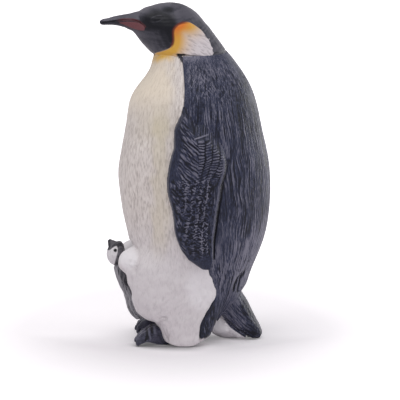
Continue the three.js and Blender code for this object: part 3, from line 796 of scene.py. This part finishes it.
def back_shell(skin, seam):
    """Dark back with combed feathers, the rump grooves and the heels."""
    turn, height, radius = body_shell(skin, seam, False)
    across = turn * HAIR_RADIUS
    u, v = seen(shell_points(turn, height, radius))
    plain = ramp(oval(u, v, (9.5, 29), (3.5, 9)), 1.2, 0.6)
    wave = 0.6 * noise(across / 2.2, height / 5, 0, 46)
    combed = 0.3 * hair(across, height, 0.32, 1.0, 41, 0.15)
    combed += 0.75 * hair(across + wave, height, 0.32, 4.2, 47, 0.15)
    tousled = 0.85 * hair(across + 0.4 * height, height, 0.3, 0.6, 45, 0.3) + 0.2 * ramp(v, 62, 69)
    relief = combed * (1.0 - 0.5 * plain) + ramp(v, 55, 64) * (tousled - combed)
    relief += 0.7 * ramp(v, 24, 17) * hair(across - 0.4 * height, height, 0.34, 1.0, 57, 0.2)
    near = edge_distance(turn, radius)
    relief = relief * ramp(near, 0.3, 1.9) * (1 - 0.5 * ramp(v, 67.5, 70))
    lip = 0.16 * ramp(height, 48, 56) * ramp(near, 2.4, 0.8)
    swell = 0.12 * noise(across / 5, height / 9, 0, 51)
    radius += 0.06 * relief + lip + swell - 0.14 * ramp(near, 0.35, 0)
    first, second = (distance(u, v, curve(line)) for line in RUMP_GROOVES)
    nearest = np.minimum(first, second)
    between = ramp(np.abs(first - second), 0.3, 0.05) * ramp(first + second, 1.5, 1.1)
    taper = ramp(v, 17.9, 16.3) * ramp(v, 11.5, 12.4)
    radius -= 0.45 * taper * ramp(nearest, 0.36, 0.08)
    relief += -1.7 * taper * ramp(nearest, 0.36, 0.14) + taper * (
        1.9 * between + 0.7 * ramp(np.abs(nearest - 0.6), 0.25, 0))
    # Painted shadow: a dark line under the step of the rump
    relief -= 1.2 * stroke(u, v, RUMP_STEP, 0.25, 0.05)
    flecks = ramp(noise((u + v) / 0.3, (u - v) / 0.9, 0, 53), 0.35, 0.7)
    relief += 1.8 * flecks * ramp(oval(u, v, (5.8, 64), (2.8, 5)), 1.2, 0.3)
    # Painted highlight on the top edge of the cape, and painted shadow in the hole at the front of the neck
    # joint
    relief += 0.5 * ramp(v, 69.3, 70.6) * ramp(u, 8, 4) - 3 * inside(u, v, NECK_HOLE, 0.08)
    # Painted shadow: a dark line along the rear edge of the flipper, over a shallow groove, stronger lower
    # down
    blade_shadow = stroke(u, v, FLIPPER_REAR, 0.5, 0.25) * (0.3 + 0.7 * ramp(v, 40, 31))
    radius -= 0.25 * blade_shadow
    relief -= 2.0 * blade_shadow
    relief += 0.3 * ramp(v, 34, 22) + 0.08 * ramp(v, 48, 58)
    # Brushed lighter near the rear edge of the lower back, partly dry-brushing and partly a painted highlight
    dry = ramp(v, 36, 27) * ramp(v, 11, 15) * ramp(u - 0.4 * (v - 21), 12.5, 15.5)
    relief = relief * (1 + 0.5 * dry) + 0.42 * dry
    relief += -0.3 * ramp(v, 46, 56) * ramp(u, 11, 14) - 0.7 * ramp(v, 11, 8) * ramp(u, 9.5, 7)
    points, faces = closed_shell(turn, height, radius, False)
    raise_hem(points)
    round_tail(points)
    u, v = seen(points)
    fields = {"relief": over_ring(0.45 + 0.62 * relief), "white": ramp(follow(u, HEEL_RIM) - v, -0.1, 0.1)}
    piece("back_shell", points, faces, "slate_paint", fields)


# Head

def head_form():
    """The head, with its bill rounded off, its outline moved and its chin smoothed."""
    points, faces = even_cells("head", HEAD_CELL, 70, floor=NECK + NECK_GAP)
    y, z = points[:, 1], points[:, 2]
    points[:, :2] -= (points[:, :2] - (0, AXIS_BACK)) * 0.02 * ramp(z, NECK + 1.4, NECK + 0.8)[:, None]
    to_tip = np.clip((BILL_ROUND - y) / (BILL_ROUND - y.min()), 0, 1)
    tip = points[to_tip > 0.9].mean(axis=0)
    points[:, ::2] -= (points[:, ::2] - tip[::2]) * (1 - np.sqrt(1 - 0.85 * to_tip ** 2))[:, None]
    y -= BILL_LONGER * to_tip
    normal = outward(points, faces)
    u, v = seen(points)
    upward = ramp(normal[:, 2], 0.1, 0.7)
    lift = -BILL_LOWER * ramp(u, -12, -14.5) * ramp(u, -21.5, -19.5) * upward
    lift -= CROWN_LOWER * ramp(u, -10.5, -8) * ramp(v, 78, 80) * upward
    lift += THROAT_OUT * np.exp(-(v - 72.7) ** 2) * ramp(u, -6, -8)
    lift += -JAW_IN * spot(u, v, JAW, (1.3, 0.9)) + CHIN_OUT * spot(u, v, CHIN, (1.2, 1.4))
    points = raised(points, normal, lift)
    chin = ramp(oval(u, v, (-11.2, 75.6), (4.2, 4.4)), 1, 0.7) * ramp(v, 72, 72.8)
    return points + chin[:, None] * (relax(points, faces, 80, 0.5) - points), faces


def head():
    """Hood, bill, ear patches and upper neck."""
    points, faces = head_form()
    normal = outward(points, faces)
    u, v = seen(points)
    x, y, z = points.T
    sideways = ramp(np.abs(normal[:, 0]), 0.1, 0.4)
    eye_u, eye_v = u - EYE[0], v - EYE[1]
    turned_u, turned_v = eye_u * EYE_TURN[0] + eye_v * EYE_TURN[1], eye_v * EYE_TURN[0] - eye_u * EYE_TURN[1]
    from_eye = oval(turned_u, turned_v, (0, 0), EYE_HALF)
    lids = ramp(np.abs(from_eye - 1.25), 0.35, 0.05) * sideways * ramp(np.abs(turned_v), 0.2, 0.6)
    ball = ramp(from_eye, 1.0, 0.2) * sideways
    mouth = distance(u, v, curve(MOUTH))
    torn = 0.35 * noise(u / 0.5, v / 0.4, x / 2, 73) * ramp(u, 4, 6.5)
    light = inside(u + torn, v + torn, FACE_EDGE + EAR_BACK + THROAT, 0.1)
    from_face = distance(u, v, curve(FACE_EDGE))
    # Painted shadow: black along the cape's upper edge and in the neck hole, over a carved groove
    gap_half = 0.12 + 0.22 * ramp(u, 0.4, -1.6)
    cape_gap_shadow = ramp(np.abs(v - follow(u, CAPE_LINE)), gap_half, 0.3 * gap_half)
    cape_gap_shadow = np.maximum(cape_gap_shadow * ramp(u, -2.45, -2.2) * ramp(u, 4.6, 3.8), inside(u, v, NECK_HOLE, 0.08))
    scales = hair(0.5 * y + 0.87 * z, 0.87 * y - 0.5 * z, 0.55, 1.2, 61, 0.3)
    combed = hair(z + 0.3 * x, y, 0.7, 1.8, 65)
    patches = noise(u / 2.4 + v / 5, v / 1.6, x / 4, 67) * ramp(v, 78, 82) * ramp(u, -10, -6)
    patches += -1.2 * spot(u, v, (-4.6, 83), (1.5, 0.8)) + 0.6 * spot(u, v, (-1.6, 81.6), (1.8, 1.2))
    ear = light * ramp(from_face - 0.25 * (v - 75), 2.2, 4.0)
    relief = (0.35 * combed + patches) * (1 - light) + 1.6 * scales * ear
    lift = 0.02 * relief + 0.08 * scales * ear + 0.07 * lids
    lift = lift - 0.05 * ramp(from_eye, 1.7, 1.3) * sideways + 0.1 * ball
    lift += -0.12 * ramp(mouth, 0.3, 0.05) - 0.4 * cape_gap_shadow + 0.05 * light * ramp(from_face, 0.1, 0.5)
    warm = light * np.exp(-(from_face / 3.2) ** 2) * ramp(v, 69, 72.5) * (1 - 0.4 * ramp(u, -2.5, -4.5))
    heart = oval(u, v, ORANGE_HEART, (1.3, 1.5))
    ragged = noise(u / 0.8, v / 0.8, x / 0.8, 71)
    # Painted highlight: faces turned up, most of all on the bill, and the front of the chin are brushed
    # lighter where the light falls
    front = ramp(-normal[:, 1], 0.0, 0.7) * ramp(v, 78.5, 77) * ramp(u, -14, -12.5)
    lit = (0.35 + 0.25 * ramp(u, -9, -12)) * ramp(normal[:, 2], 0.2, 0.9) + 0.45 * front
    # Painted shade: the face round the eye is painted darker than the crown and nape, less on the front of
    # the chin
    face_shade = np.clip(1.05 + 0.3 * noise(u / 1.1, v / 0.8, x / 2, 75), 0, 1)
    face_shade *= ramp(oval(u, v, (-6.9, 77.8), (5.4, 5.3)), 1.15, 0.75)
    plate = inside(u, v, BILL_PLATE, 0.08)
    fields = {
        "relief": 0.5 + 0.5 * relief + 0.18 * lids + lit - 0.5 * ramp(mouth, 0.3, 0.1),
        "deep": face_shade * (1 - 0.4 * lids) * (1 - 0.8 * front),
        "white": light,
        "yellow": np.clip(1.25 * warm + light * collar(u, v), 0, 1) * ramp(0.25 * ragged + 1, 0.2, 0.9),
        "orange": light * np.clip(1.3 * np.exp(-(heart / 1.7) ** 2) * np.exp(-(from_face / 1.9) ** 2), 0, 1),
        "rust": 0.9 * ramp(np.abs(from_face - 0.05), 0.42, 0.05) * ramp(u, 1.5, -1.0) * ramp(v, 72.9, 74.2),
        "plate": plate,
        "gape": 0.8 * ramp(np.abs(mouth - 0.2), 0.22, 0.05) * ramp(u, -18, -16) * (1 - plate) * sideways,
        # Black painted in as the shadow in the gap under the cape's edge
        "gap": cape_gap_shadow,
    }
    piece("head", raised(points, normal, lift), faces.tolist(), "hood_paint", fields)


# Flippers

def feathers(points, share, drawn):
    """Carved feathers of a blade, by the share of its width from the front and the line of its rear edge."""
    y, z = points[:, 1], points[:, 2]
    u, v = seen(points)
    wobble, tremble = noise(y / 2.2, z / 2.2, 0, 81), noise(y / 0.9, z / 1.1, 0, 87)
    across, along = 0.68 * y + 0.73 * z, 0.73 * y - 0.68 * z
    slanted = 0.55 * ridges(across + 0.5 * wobble + 0.2 * tremble, 0.82)
    slanted += 0.7 * hair(across, along, 0.4, 1.6, 85, 0.2)
    column = (drawn - u - 0.3) / FEATHER_WIDTH + 0.15 * wobble + 0.06 * tremble
    phase = column - np.floor(column)
    shift = scatter(np.floor(column).astype(np.int64), 0, 0, 83)
    bars = ridges(v + 0.35 * phase + shift + 0.35 * wobble + 0.25 * tremble, 0.74)
    bars = bars * (0.8 + 0.6 * noise(y, z / 0.9, 0, 90))
    bars -= (0.9 + 0.5 * tremble) * ramp(np.minimum(phase, 1 - phase), 0.16, 0.04)
    quill = ramp(np.abs(phase - 0.5), 0.16, 0.04) * (0.7 + 0.6 * tremble)
    barbs = ridges(v + 0.6 * phase + shift + 0.6 * tremble, 0.75) * (1 - 1.5 * np.abs(phase - 0.5))
    pits = ramp(noise(y / 0.55, z / 0.42, 0, 86), 0.15, 0.5)
    feathered = 0.9 * quill + 0.8 * barbs + 0.6 * hair(z + 0.4 * y, y, 0.35, 0.4, 88, 0.2) - 0.05 - 0.9 * pits
    specks = 0.35 * hair(y, z, 0.36, 1.4, 84, 0.2) - 1.1 * ramp(noise(y / 0.45, z / 0.6, 0, 80), 0.35, 0.6)
    strokes = 0.7 * hair(0.8 * y + 0.6 * z, 0.6 * y - 0.8 * z, 0.45, 1.1, 89, 0.2) - 0.5 * pits
    high = ramp(share, 0.58, 0.46) * slanted * ramp(share, 0.08, 0.26) + ramp(share, 0.46, 0.56) * bars
    low = strokes * ramp(share, 0.28, 0.16) * ramp(share, 0.02, 0.12) + specks * ramp(share, 0.74, 0.86)
    low += feathered * ramp(share, 0.16, 0.28) * ramp(share, 0.86, 0.74)
    upper = ramp(v + wobble, 38, 42)
    return (upper * high + (1 - upper) * low) * (0.9 + 0.4 * noise(y / 1.5, z / 2, 0, 82))


def flippers(skin):
    """Long blades with rows of carved feathers."""
    points, faces = even_cells("left_flipper", BLADE_CELL, 30)
    normal = outward(points, faces)
    x, y, z = points.T
    u, v = seen(points)
    outer = ramp(normal[:, 0], 0.1, 0.5)
    steps = np.arange(z.min(), z.max(), 0.5)
    blade = x > np.quantile(x, 0.08)
    slices = [y[blade & (np.abs(z - step) < 0.5)] for step in steps]
    front, rear = (np.interp(z, steps, [end(cut) for cut in slices]) for end in (np.min, np.max))
    share = (y - front) / (rear - front + 1e-6)
    drawn = follow(v, [(up, back) for back, up in FLIPPER_REAR[::-1]])
    over_shoulder = v - follow(u, SHOULDER_LINE)
    # A raised rim along the rear edge, brushed lighter as a painted highlight
    rim = ramp(np.abs(share - 0.95), 0.03, 0.01) * ramp(v, 50, 44)
    shoulder = ramp(over_shoulder, -0.6, 0.6)
    relief = feathers(points, share, drawn) * (1 - rim) * ramp(v, 19, 22.5) * (1 - shoulder)
    relief += 0.7 * hair(y, z, 0.36, 1.6, 84, 0.2) * shoulder + 0.4 * rim
    for line in SHOULDER_RIDGES:
        relief += 0.9 * stroke(u, v, line, 0.26, 0.06)
    relief = np.clip(relief, -1, 1) * outer
    points = raised(points, normal, CARVING * relief)
    over = np.maximum(rear - drawn, 0) * ramp(share, 0.5, 0.95) * ramp(v, 46, 43)
    points[:, 1] -= over + follow(v, FLIPPER_FORWARD) * ramp(share, 0.6, 0)
    points[:, 0] += REAR_LIFT * ramp(share, 0.7, 0.95) * ramp(v, 46, 43)
    stand_out = np.maximum(points[:, 0] - half_width(skin, points[:, 1], points[:, 2]) + SHOULDER_SINK, 0)
    points[:, 0] -= stand_out * ramp(over_shoulder, -1.5, 3.5)
    # Painted shadow: the rear edge is painted darker where it stands off the back
    undercut_shadow = ramp(share, 0.975, 0.99) * ramp(v, 47, 44)
    fields = {"relief": 0.38 + 0.84 * relief - 0.6 * undercut_shadow}
    both_sides("left_flipper", points, faces, "slate_paint", fields)


# Tail

def along_tail(y, z):
    """A place of the side view as station, distance along and distance across the tail."""
    station, run, off = (np.zeros(np.shape(y)) for _ in range(3))
    best = np.full(np.shape(y), 1e9)
    before = 0
    for i, (a, b) in enumerate(zip(TAIL_PATH, TAIL_PATH[1:])):
        back, up = b[0] - a[0], b[1] - a[1]
        length = math.hypot(back, up)
        share = ((y - a[0]) * back + (z - a[1]) * up) / length ** 2
        share = np.clip(share, 0 if i else -1, 1)
        side = ((z - a[1]) * back - (y - a[0]) * up) / length
        gap = np.hypot(y - a[0] - share * back, z - a[1] - share * up)
        station, run, off = (np.where(gap < best, new, old) for new, old in (
            (i + share, station), (before + share * length, run), (side, off)))
        best = np.minimum(best, gap)
        before += length
    return station, run, off


def tail_half(y, z):
    """Half width of the tail at a place of the side view, for a boxy section."""
    station, _, off = along_tail(y, z)
    thick, wide = (np.interp(station, range(len(TAIL_PATH)), [p[k] for p in TAIL_PATH]) for k in (2, 3))
    thick = thick * np.where(off < 0, TAIL_DEEPER, 1)
    return wide * np.maximum(1 - np.abs(off / thick) ** TAIL_BOXY, 0) ** (1 / TAIL_BOXY)


def tail():
    """Dark wedge of stiff feathers with a white underside."""
    points, faces = even_cells("tail", BLADE_CELL, 30)
    x, y, z = points.T
    cells = np.unique(np.round(points[:, 1:] / TAIL_CELL).astype(int), axis=0, return_inverse=True)[1].ravel()
    widest_x = np.zeros(cells.max() + 1)
    np.maximum.at(widest_x, cells, np.abs(x))
    under_half = UNDERTAIL_HALF * ramp(z, -1, 3) * ramp(z, 8, 6) * ramp(y, 15, 10)
    fuller = np.maximum(tail_half(y, z), under_half) / np.maximum(widest_x[cells], 0.5)
    lifted = UNDERTAIL_LIFT * ramp(outward(points, faces)[:, 2], 0.2, 0.6) * ramp(z, 6.2, 5.6)
    z += lifted * ramp(y, 10, 8.6)
    x *= np.clip(fuller, 1, 12)
    points = relax(points, faces, 40)
    x, y, z = points.T
    z -= TAIL_END_DROP * ramp(y, 14.4, 16) * ramp(z, 3, 0.5)
    y -= TAIL_END_SHORTER * ramp(z, 9, 5) * ramp(y, 11.5, 15)
    normal = outward(points, faces)
    u, v = seen(points)
    _, run, off = along_tail(y, z)
    white = ramp(follow(u, TAIL_WHITE) - v + 0.06 * noise(x, u, 0, 91), -0.08, 0.08)
    top = hair(1.5 * x, run, 0.8, 4.0, 92)
    side = hair(off, run, 0.36, 1.8, 94, 0.2)
    relief = (side + ramp(np.abs(normal[:, 0]), 0.7, 0.4) * (top - side)) * (1 - 0.7 * white)
    made = raised(points, normal, (0.06 * relief + 0.1 * ramp(white, 0.9, 0.4)) * ramp(z, 0.3, 1.2))
    made[:, 1] -= TAIL_SINK * ramp(-normal[:, 1], 0.5, 0.8) * ramp(z, 6, 8)
    made[:, 2] = np.maximum(made[:, 2], 0)
    fields = {"relief": 0.78 + 0.4 * relief - 0.5 * ramp(u, 12, 16), "pale": white}
    piece("tail", made, faces.tolist(), "slate_paint", fields)


# Feet

def feet():
    """Three-toed feet with wrinkled toes."""
    points, faces = even_cells("left_foot", FOOT_CELL, 14)
    x, y, z = points.T
    x += TOE_OUT * ramp(x, 9, 13) * ramp(y, -6, -9)
    z *= 1 - TOE_LOWER * ramp(y, -8.5, -11)
    arch = np.minimum(z, follow(y, FOOT_ARCH))
    z += ramp(z, 2.8, 1.7) * ramp(y, -12.2, -11) * (arch - z)
    normal = outward(points, faces)
    u, v = seen(points)
    wrinkle = noise(x / 1.5, y / 0.55, z / 1.5, 95)
    relief = 0.4 * wrinkle * ramp(z, 1.0, 2.4) + 0.4 * noise(x / 0.5, y / 0.9, z / 0.5, 96)
    outer = ramp(normal[:, 0], 0.0, 0.4)
    for lines, height in ((TOE_RIDGES, 1.3), (TOE_GROOVES, -1.5)):
        for line in lines:
            relief += height * outer * stroke(u, v, line, 0.4, 0.08)
    made = raised(points, normal, 0.1 * relief * ramp(z, 0.3, 1))
    made[:, 2] = np.maximum(made[:, 2], 0)
    both_sides("left_foot", made, faces, "foot_paint", {"relief": 0.42 + 0.5 * relief})


# Chick

def chick_body():
    """Grey downy body, darker beside the trousers."""
    points, faces = even_cells("chick_body", CHICK_CELL, 20)
    normal = outward(points, faces)
    x, y, z = points.T
    relief = hair(x + 0.5 * y, z, 0.7, 1.3, 97)
    made = raised(points, normal, 0.05 * relief)
    made[:, 1] += follow(z, CHICK_FRONT) * ramp(-normal[:, 1], 0, 0.5)
    made[:, 1:] += ramp(z, 16.5, 19)[:, None] * CHICK_NECK_SHIFT
    fields = {"relief": 0.54 + 0.35 * relief, "deep": 0.85 * ramp(y - follow(z, CHICK_DARK), 0.2, 1.4)}
    piece("chick_body", made, faces.tolist(), "down_paint", fields)


def chick_head():
    """Dark cap, white face and a dark eye."""
    points, faces = even_cells("chick_head", CHICK_CELL, 16)
    normal = outward(points, faces)
    x, y, z = points.T
    y -= CHICK_NAPE_SHORT * np.maximum(y - CHICK_NAPE, 0) + CHICK_HEAD_FORWARD
    u, v = seen(points)
    relief = hair(x + 0.6 * y, z, 0.6, 1.0, 98)
    eye = np.hypot(u - CHICK_EYE[0], v - CHICK_EYE[1])
    points = raised(points, normal, 0.03 * relief + 0.1 * ramp(eye, 0.55, 0.2))
    fields = {"relief": 0.5 + 0.5 * relief, "white": inside(u, v, CHICK_FACE, 0.1),
              "black": ramp(eye, 0.5, 0.38)}
    piece("chick_head", points, faces.tolist(), "cap_paint", fields)


def chick_flippers():
    """Two small dark flippers."""
    points, faces = even_cells("chick_left_flipper", CHICK_CELL, 12)
    _, y, z = points.T
    y += CHICK_FLIPPER_BACK
    z += CHICK_FLIPPER_SHORT * (z.max() - z)
    relief = hair(y, z, 0.6, 1.4, 99)
    points = raised(points, outward(points, faces), 0.04 * relief)
    both_sides("chick_left_flipper", points, faces, "cap_paint", {"relief": 0.36 + 0.4 * relief})


# Stage

def paper():
    """White paper that glows away from the bird, most of all behind it as painted light that lifts its shadow
    there, and darker where the left foot and hem meet it, a painted contact shadow.
    """
    nodes = Nodes(bpy.data.materials.new("floor_paper"))
    camera_ray = nodes.add("LightPath").outputs["Is Camera Ray"]
    place = nodes.add("TexCoord").outputs["Object"]
    shape = nodes.add("Mapping", Vector=place, Location=(0, 0.004, 0), Scale=(0.7, 1.35, 1))
    far = nodes.add("VectorMath", shape.outputs["Vector"])
    far.operation = "LENGTH"
    split = nodes.add("SeparateXYZ", Vector=place).outputs
    # Painted light: the paper glows more behind the bird and away from it, which lifts its shadow there
    behind = nodes.spread(split["X"], -0.004, 0.02, 0.27, 0.02)
    glow = nodes.sum("MAXIMUM", nodes.spread(far.outputs["Value"], 0.018, 0.148, 0, 1), behind)
    # Painted contact shadow: ambient occlusion darkens the paper in front of the left foot and hem, for
    # camera rays only
    contact = nodes.add("AmbientOcclusion", Distance=CONTACT_REACH)
    contact.samples = 32
    shade = nodes.spread(contact.outputs["AO"], 0.45, 1.0, 0.85, 0)
    in_front = nodes.spread(split["X"], 0.008, 0.014, 0, 1)
    by_foot = nodes.spread(split["Y"], 0.001, 0.006, 1, 0)
    for share in (in_front, by_foot, camera_ray):
        shade = nodes.sum("MULTIPLY", shade, share)
    nodes.feed(nodes.shader, {
        "Base Color": nodes.mix(shade, PAPER, (0, 0, 0, 1)), "Roughness": 0.9, "Specular IOR Level": 0.1,
        "Emission Color": PAPER_GLOW, "Emission Strength": nodes.sum("MULTIPLY", camera_ray, glow)})
    return nodes.owner


def floor_sheet():
    """The sheet that the bird stands on."""
    mesh = bpy.data.meshes.new("floor")
    corners = [(x * FLOOR_HALF, y * FLOOR_HALF, 0) for x, y in ((-1, -1), (1, -1), (1, 1), (-1, 1))]
    mesh.from_pydata(corners, [], [(0, 1, 2, 3)])
    mesh.materials.append(paper())
    floor = in_scene("floor", mesh)


def lights():
    """A white sky that is brighter to the eye than as a light, and three soft lamps."""
    world = bpy.data.worlds.new("studio")
    bpy.context.scene.world = world
    nodes = Nodes(world, "Background")
    camera_ray = nodes.add("LightPath").outputs["Is Camera Ray"]
    strength = nodes.spread(camera_ray, 0, 1, SKY_CAST, SKY_SEEN)
    nodes.feed(nodes.shader, {"Color": (1, 1, 1, 1), "Strength": strength})
    for name, place, size, power in LAMPS:
        lamp = bpy.data.lights.new(name, "AREA")
        lamp.size = size
        lamp.energy = power
        made = in_scene(name, lamp)
        made.location = place
        made.rotation_euler = (Vector(LAMP_AIM) - Vector(place)).to_track_quat("-Z", "Y").to_euler()


def camera():
    """A long lens from the left side of the bird."""
    lens = bpy.data.cameras.new("camera")
    lens.lens = LENS
    lens.sensor_width = SENSOR
    lens.clip_end = 20
    made = in_scene("camera", lens)
    away = Vector((math.cos(VIEW_RISE), 0, math.sin(VIEW_RISE)))
    made.location = (Vector(VIEW_CENTRE) + away * VIEW_WIDTH * LENS / SENSOR) * MM
    made.rotation_euler = (-away).to_track_quat("-Z", "Y").to_euler()
    bpy.context.scene.camera = made
    bpy.context.scene.view_settings.view_transform = "Standard"


floor_sheet()
lights()
camera()
skin, seam = body_skin()
front_shell(skin, seam)
back_shell(skin, seam)
head()
flippers(skin)
tail()
feet()
chick_body()
chick_head()
chick_flippers()
